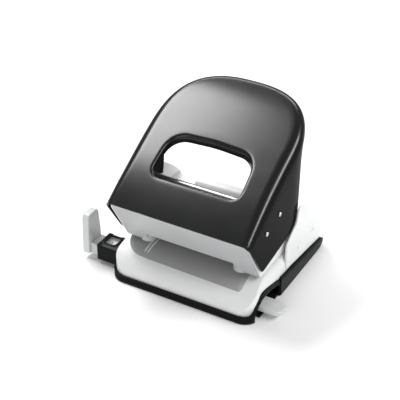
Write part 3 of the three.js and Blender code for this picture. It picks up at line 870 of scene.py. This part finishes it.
def rear_cover(bm):
    """A hump whose outline shrinks towards its spine as it rises."""
    levels = [(0, 0, 38.2), (0.01, 0.06, 41.5), (0.025, 0.16, 43.8), (0.05, 0.3, 45.1),
              (0.08, 0.48, 45.8), (0.12, 0.7, 46)]
    rows = [[(x * (1 - across), HUMP_SPINE + (y - HUMP_SPINE) * (1 - along), z)
             for x, y in filleted(HUMP)] for across, along, z in levels]
    made = grid(bm, rows, closed=True)
    bm.faces.new(made[-1])
    bm.faces.new(made[0])


piece("rear_housing_walls", rear_walls, "base", PALE_PAINT, ["rear_housing"], bevel=0,
      sharp=60)
piece("rear_housing_deck", rear_deck, "base", PALE_PAINT, bevel=0, sheet=1.2, sharp=60)
piece("rear_housing_beads", housing_beads, "base", PALE_PAINT, bevel=0, sharp=80)
piece("rear_cover_hump", rear_cover, "base", PALE_PAINT, ["rear_cover"], bevel=0, sharp=60)

HOUSING_RIVETS = [(76.3, 24.7), (103.2, 26)]


def rivet(side, y, z):
    near, face = HOUSING_HALF - 1.6, HOUSING_HALF
    half = [(0, near), (1.1, near), (1.1, face - 0.05), (1.05, face + 0.15), (0.7, face + 0.27),
            (0, face + 0.3)]
    return lambda bm: turned(bm, [(r, side * h) for r, h in half], (0, y, z), "X", 24)


for name, side in SIDES:
    for i, (y, z) in enumerate(HOUSING_RIVETS):
        piece(f"rivet_{name}_{i + 1}", rivet(side, y, z), "base", STEEL,
              [f"housing_rivet_{name}_{i + 1}"], bevel=0)

# ---------------------------------------------------------------- chip tray

TRAY_HALF, TRAY_DEPTH, TRAY_CORNER, TRAY_WALL = 62.7, 127, 13, 2.3
TRAY_RIM = smoothed([(0, 5.6), (2, 5.8), (4, 7), (6, 10), (9, 15.6), (13, 19.6), (18, 21), (27, 20),
                     (40, 17), (46, 15.6), (60, 15.2), (122, 8.6), (127, 8)], 3)
ARCH = [(6.75, 0), (6.8, 3), (7.4, 8), (10, 13), (14, 15.8), (20, 16.6), (28, 16), (38, 13.6),
        (42.6, 12), (44.4, 9), (44.45, 0)]


def tray_plan():
    """A closed clockwise outline with a point wherever the rim or the arch turns."""
    stops = {y for y, _ in [*TRAY_RIM, *ARCH]}
    front_arc = sorted({*(y for y in stops if y < TRAY_CORNER), *(0.15, 0.5, 1.1, 2.9, 5.2, 8.5, 11.5)})
    right = []
    for y in front_arc:
        short = TRAY_CORNER - y
        right.append((TRAY_HALF - TRAY_CORNER + math.sqrt(TRAY_CORNER ** 2 - short ** 2), y))
    right += [(TRAY_HALF, y) for y in sorted(stops) if TRAY_CORNER <= y < TRAY_DEPTH - TRAY_CORNER]
    for k in range(15):
        turn = math.pi / 2 * k / 14
        right.append((TRAY_HALF - TRAY_CORNER * (1 - math.cos(turn)),
                      TRAY_DEPTH - TRAY_CORNER * (1 - math.sin(turn))))
    return [(-x, y) for x, y in right] + right[::-1]


def tray_walls(bm):
    plan = tray_plan()
    columns = []
    for (x, y), n in zip(plan, inward(plan, closed=True)):
        foot = height_on(ARCH, y) if ARCH[0][0] <= y <= ARCH[-1][0] else 0
        top = height_on(TRAY_RIM, y)
        ledge = max(foot + 0.5, top - 2.7)
        section = [(0.35, foot), (0, foot + 0.35), (0, ledge), (0.5, ledge + 0.4), (0.5, top - 0.8),
                   (0.75, top - 0.25), (1.2, top), (1.9, top), (TRAY_WALL, top - 0.4),
                   (TRAY_WALL, foot)]
        columns.append([(x + n.x * d, y + n.y * d, z) for d, z in section])
    rows = [list(ring) for ring in zip(*columns)]
    grid(bm, [*rows, rows[0]], closed=True)


def tray_floor(bm):
    """The tray's underside round the lid's opening, the front wall and the lid's two hinge blocks."""
    box(bm, -56, 56, 1.5, 36.2, 0, 2.2)
    box(bm, -61.5, -49.8, 14, 113, 0.02, 2.2)
    box(bm, 49.8, 61.5, 14, 113, 0.02, 2.2)
    box(bm, -56, 56, 121, 125.5, 0, 2.2)
    box(bm, -56, 56, 33, 34.4, 1, 13)
    for side in (-1, 1):
        low, high = sorted((side * 50.3, side * 54))
        box(bm, low, high, 115.5, 125.5, 0.2, 5.8)


PANEL = [(45, 0.2, 0.8), (45, 16.6, 1.6), (117, 8.9, 4), (121.6, 6.8, 2.5), (121, 3.6, 3), (116, 0.2, 8)]
PANEL_IN, PANEL_OUT = 61, 63.5


def tray_panel(side):
    """One side panel, with a fine bead that follows its sloping top."""
    low, high = sorted((side * PANEL_IN, side * PANEL_OUT))
    front, rear = [(y, 16.6 - (y - 45) * 0.107 - 2.0) for y in (47, 117)]
    bead = [front, rear, (rear[0], rear[1] + 0.7), (front[0], front[1] + 0.7)]

    def build(bm):
        prism(bm, filleted(PANEL), "X", low, high)
        prism(bm, bead, "X", *sorted((side * 62, side * (PANEL_OUT + 0.3))))

    return build


piece("tray_rim", tray_walls, "base", BLACK_PLASTIC, ["chip_tray"], bevel=0, sharp=60)
piece("tray_floor", tray_floor, "base", BLACK_PLASTIC, bevel=0.3)
for name, side in SIDES:
    piece(f"tray_panel_{name}", tray_panel(side), "base", BLACK_PLASTIC, bevel=0.35)

LID_HALF, LID_FRONT, LID_HINGE_Y, LID_HINGE_Z = 49.5, 36.5, 118, 3.4


def tray_lid(bm):
    box(bm, -LID_HALF, LID_HALF, LID_FRONT, LID_HINGE_Y, 0.5, 2)
    box(bm, -30, 30, LID_FRONT + 2, LID_FRONT + 4, 1.8, 4.4)
    for x in (-36, -12, 12, 36):
        box(bm, x - 0.6, x + 0.6, LID_FRONT + 6, LID_HINGE_Y - 4, 1.8, 3)
    turned(bm, [(1.15, -LID_HALF), (2.1, -LID_HALF), (2.4, -LID_HALF + 0.3), (2.4, LID_HALF - 0.3),
                (2.1, LID_HALF), (1.15, LID_HALF)], (0, LID_HINGE_Y, LID_HINGE_Z), "X", 32)


def lid_pin(bm):
    turned(bm, [(0, -52.7), (0.6, -52.7), (0.8, -52.4), (0.8, 52.4), (0.6, 52.7), (0, 52.7)],
           (0, LID_HINGE_Y, LID_HINGE_Z), "X", 24)


piece("lid_moulding", tray_lid, "lid", BLACK_PLASTIC, ["tray_lid"], bevel=0.25)
piece("lid_pin_wire", lid_pin, "base", STEEL, ["lid_hinge_pin"], bevel=0)

# ---------------------------------------------------------------- paper guide

BAR_FRONT, BAR_BACK, BAR_LOW, BAR_HIGH, BAR_THIN = 16, 30, 4.5, 14, 8.5
BAR_SPLIT, BAR_SLOT = 15, 13.1
SCALE_LEFT, SCALE_RIGHT, SCALE_FRONT, SCALE_BACK = -82, 12, 18, 28


def guide_bar(bm):
    """The rail with its slot for the strip, and the thinner tongue that ends in the right tab."""
    section = filleted([(BAR_FRONT, BAR_LOW, 0.6), (BAR_BACK, BAR_LOW, 0.6), (BAR_BACK, BAR_HIGH, 0.8),
                        (SCALE_BACK + 0.3, BAR_HIGH, 0), (SCALE_BACK + 0.3, BAR_SLOT, 0),
                        (SCALE_FRONT - 0.3, BAR_SLOT, 0), (SCALE_FRONT - 0.3, BAR_HIGH, 0),
                        (BAR_FRONT, BAR_HIGH, 0.8)])
    prism(bm, section, "X", -90.4, BAR_SPLIT)
    tongue = filleted([(BAR_SPLIT - 0.5, BAR_FRONT, 0), (77, BAR_FRONT, 6), (77, BAR_BACK, 6),
                       (BAR_SPLIT - 0.5, BAR_BACK, 0)], 9)
    prism(bm, tongue, "Z", BAR_LOW, BAR_THIN)


def guide_stop(bm):
    """The upright paddle that the paper's edge meets."""
    outline = filleted([(13, BAR_LOW, 1.2), (31, BAR_LOW, 1.2), (31, 19, 6), (28.8, 39.6, 4),
                        (14.6, 39.6, 4)], 6)
    prism(bm, outline, "X", -94.8, -88.4)


piece("guide_rail", guide_bar, "guide", PALE_PLASTIC, ["guide_bar"], bevel=0.6)
piece("guide_paddle", guide_stop, "guide", PALE_PLASTIC, bevel=1.1)


def label_strip(bm):
    box(bm, SCALE_LEFT, SCALE_RIGHT, SCALE_FRONT, SCALE_BACK, 13.3, 13.75)


LETTER_A = [((0, 0), (1.3, 4.6)), ((1.3, 4.6), (2.6, 0)), ((0.5, 1.6), (2.1, 1.6))]
DIGIT_4 = [((1.8, 0), (1.8, 4.6)), ((1.8, 4.6), (0, 1.5)), ((0, 1.5), (2.5, 1.5))]
MARKS_X, MARKS_Y = (-75.1, -52, -30, -8), 20.6


def label_print(bm):
    """Paper sizes in plain strokes, and a row of ticks along the strip."""
    high = 13.8
    for start in MARKS_X:
        for glyph, shift in ((LETTER_A, 0), (DIGIT_4, 3.5)):
            for (ax, ay), (bx, by) in glyph:
                a = Vector((start + shift + ax, MARKS_Y + ay))
                b = Vector((start + shift + bx, MARKS_Y + by))
                side = Vector((b.y - a.y, a.x - b.x)).normalized() * 0.38
                quad = [a - side, b - side, b + side, a + side]
                prism(bm, [(p.x, p.y) for p in quad], "Z", high - 0.1, high)
    for k in range(45):
        x = -80 + 2 * k
        length = 2.2 if k % 5 == 0 else 1.4
        box(bm, x - 0.1, x + 0.1, SCALE_FRONT + 0.6, SCALE_FRONT + length, high - 0.1, high)


piece("format_strip", label_strip, "guide", LABEL, ["format_scale"], bevel=0.08)
piece("format_print", label_print, "guide", INK, bevel=0)

BLOCK_LEFT, BLOCK_RIGHT = -80.4, -63
BLOCK_FRONT, BLOCK_BACK, BLOCK_LOW, BLOCK_HIGH = 12.5, 32, 3.2, 17.2
LENS = (-76.4, -67.4, 18, 27.5)


def lens_outline(grow):
    """The window's rounded outline, made larger all round."""
    x0, x1, y0, y1 = LENS
    corner = 1.4 + grow
    return filleted([(x0 - grow, y0 - grow, corner), (x1 + grow, y0 - grow, corner),
                     (x1 + grow, y1 + grow, corner), (x0 - grow, y1 + grow, corner)], 6)


def guide_block(bm):
    """A sleeve round the guide bar, with a window in its roof."""
    low, high = BAR_LOW - 0.3, BAR_HIGH + 0.3
    front, back = BAR_FRONT - 0.3, BAR_BACK + 0.3
    steps = 4
    outside = filleted([(BLOCK_FRONT, BLOCK_LOW, 0.8), (BLOCK_BACK, BLOCK_LOW, 0.8),
                        (BLOCK_BACK, BLOCK_HIGH, 2), (BLOCK_FRONT, BLOCK_HIGH, 1)], steps)
    hole = [(front, low), (back, low), (back, high), (front, high)]
    ends = (BLOCK_LEFT, BLOCK_RIGHT)
    for x in ends:
        filled(bm, [[(x, y, z) for y, z in loop] for loop in (outside, hole)])
    for loop, roof in ((outside, 3 * (steps + 1)), (hole, 3)):
        for i in range(len(loop)):
            if i != roof:
                grid(bm, [[(x, y, z) for y, z in (loop[i - 1], loop[i])] for x in ends])
        (y0, z), (y1, _) = loop[roof - 1], loop[roof]
        border = [(ends[0], y0, z), (ends[1], y0, z), (ends[1], y1, z), (ends[0], y1, z)]
        filled(bm, [border, [(x, y, z) for x, y in lens_outline(0.1)]])
    grid(bm, [[(x, y, z) for x, y in lens_outline(0.1)] for z in (high, BLOCK_HIGH)], closed=True)


def window_frame(bm):
    """A raised rounded ring round the window."""
    profile = ((0.12, 17), (0.12, 17.55), (0.35, 17.8), (0.9, 17.8), (1.2, 17.6), (1.3, 17))
    rings = [[(x, y, z) for x, y in lens_outline(grow)] for grow, z in profile]
    grid(bm, [*rings, rings[0]], closed=True)


def index_bar(bm):
    outline = filleted([(-76.4, 29.7, 0.3), (-68.4, 29.7, 0.3), (-68.4, 30.7, 0.3),
                        (-76.4, 30.7, 0.3)], 4)
    prism(bm, outline, "Z", 17.0, 17.45)


def lens(bm):
    prism(bm, lens_outline(0), "Z", 15.7, 16.9)


piece("guide_sleeve", guide_block, "base", GLOSS_PLASTIC, ["guide_block"], bevel=0.4)
piece("guide_window_frame", window_frame, "base", GLOSS_PLASTIC, bevel=0.1)
piece("guide_index_bar", index_bar, "base", LABEL, bevel=0.1)
piece("guide_lens", lens, "base", CLEAR, ["format_lens"], bevel=0.15)

# ---------------------------------------------------------------- studio

FLOOR_HALF, FLOOR_DROP = 4, 0.0002
WORLD_STRENGTH = 0.25
SOFTBOXES = (
    ("key_box", (-560, 150, 900), 0.5, 0.36, 8.8),
    ("side_strip", (760, 170, 760), 0.9, 0.2, 7),
    ("back_strip", (-340, 700, 740), 0.9, 0.16, 3),
    ("front_box", (120, -900, 560), 1.0, 0.5, 2.6),
)


def studio():
    floor_mesh = bpy.data.meshes.new("floor")
    bm = bmesh.new()
    bmesh.ops.create_grid(bm, x_segments=2, y_segments=2, size=FLOOR_HALF)
    bm.to_mesh(floor_mesh)
    bm.free()
    floor = bpy.data.objects.new("floor", floor_mesh)
    floor_paper, tree, shader = material("floor_paper", (0.95, 0.95, 0.95), 0.9)
    shader.inputs["Specular IOR Level"].default_value = 0.0
    tree.links.new(ramp(tree, noise(tree, 8, 2), 0.94, 0.955), shader.inputs["Base Color"])
    floor_mesh.materials.append(floor_paper)
    floor.location.z = -FLOOR_DROP
    bpy.context.scene.collection.objects.link(floor)

    world = bpy.data.worlds.new("studio")
    world.use_nodes = True
    world.node_tree.nodes["Background"].inputs["Color"].default_value = (1, 1, 1, 1)
    world.node_tree.nodes["Background"].inputs["Strength"].default_value = WORLD_STRENGTH
    bpy.context.scene.world = world


def softbox(name, place, aim, width, height, power):
    """An area light, in metres and watts. Its width lies level."""
    light = bpy.data.lights.new(name, "AREA")
    light.shape = "RECTANGLE"
    light.size = width
    light.size_y = height
    light.energy = power
    made = bpy.data.objects.new(name, light)
    made.location = place
    made.rotation_mode = "QUATERNION"
    made.rotation_quaternion = (Vector(aim) - Vector(place)).to_track_quat("-Z", "Y")
    bpy.context.scene.collection.objects.link(made)


def camera(azimuth, elevation, distance, target, lens):
    """A camera that looks at target from an azimuth right of the front and an elevation."""
    a, e = math.radians(azimuth), math.radians(elevation)
    back = Vector((math.sin(a) * math.cos(e), -math.cos(a) * math.cos(e), math.sin(e)))
    data = bpy.data.cameras.new("camera")
    data.lens = lens
    data.sensor_width = 36
    data.clip_start, data.clip_end = 0.05, 20
    made = bpy.data.objects.new("camera", data)
    made.location = target + back * distance
    made.rotation_mode = "QUATERNION"
    made.rotation_quaternion = back.to_track_quat("Z", "Y")
    bpy.context.scene.collection.objects.link(made)
    bpy.context.scene.camera = made


studio()
for name, place, width, height, power in SOFTBOXES:
    softbox(name, at(*place), at(0, 60, 60), width, height, power)
camera(azimuth=29.457, elevation=33.927, distance=838.1 * MM, target=at(18.76, 0, 99.1), lens=108)
bpy.context.scene.view_settings.view_transform = "Standard"
